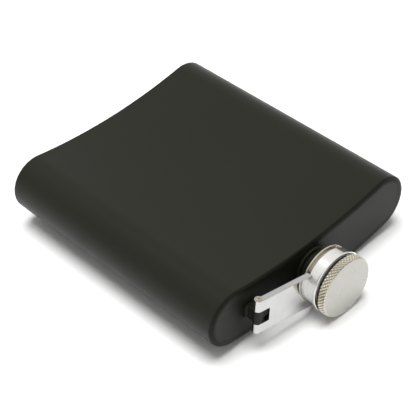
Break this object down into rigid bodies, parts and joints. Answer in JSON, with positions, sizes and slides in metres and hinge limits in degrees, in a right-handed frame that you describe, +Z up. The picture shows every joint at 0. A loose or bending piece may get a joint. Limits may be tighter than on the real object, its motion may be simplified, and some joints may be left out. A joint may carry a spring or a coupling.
{
  "type": "hip flask",
  "caption": "Curved pocket flask with a black satin shell, a threaded spout and a knurled screw cap held captive in the ring of a hinged arm.",
  "frame": {"origin": "under the middle of the bounding box, on the surface that the convex face lies on", "axes": "+X along the spout's axis towards the cap, +Y across the shell's width away from the hinge, +Z up out of the concave face"},
  "size_m": [0.1148, 0.092, 0.0244],
  "materials": {
    "shell_paint": "satin black enamel",
    "bare_steel": "turned bare stainless steel",
    "polished_steel": "polished",
    "warm_steel": "warm-toned nickel finish",
    "satin_steel": "satin face, knurled edge",
    "seal": "matte translucent white"
  },
  "bodies": {
    "flask": {"body_wall": "shell_paint", "shoulder_plate": "shell_paint", "base_plate": "shell_paint", "neck_tube": "bare_steel", "hinge_bracket": "shell_paint"},
    "arm": {"arm_plate": "polished_steel", "collar_ring": "polished_steel", "hinge_pin": "warm_steel"},
    "seal": {"cap_gasket": "seal"},
    "cap": {"cap_head": "satin_steel", "cap_sleeve": "bare_steel", "cap_flange": "warm_steel"}
  },
  "joints": [
    {"name": "arm_hinge", "type": "hinge", "parent": "flask", "child": "arm", "pos_m": [0.0464, -0.02971, 0.01418], "axis": [0, -0.1392, -0.9903], "range_deg": [0, 180]},
    {"name": "cap_lift", "type": "slide", "parent": "arm", "child": "seal", "axis": [1, 0, 0], "range_m": [0, 0.00125]},
    {"name": "cap_spin", "type": "hinge", "parent": "seal", "child": "cap", "pos_m": [0.05415, 0, 0.0111], "axis": [1, 0, 0], "range_deg": [0, 360]}
  ],
  "couplings": [
    {"joint": "cap_lift", "follows": "cap_spin", "m_per_rad": 0.00019894}
  ]
}
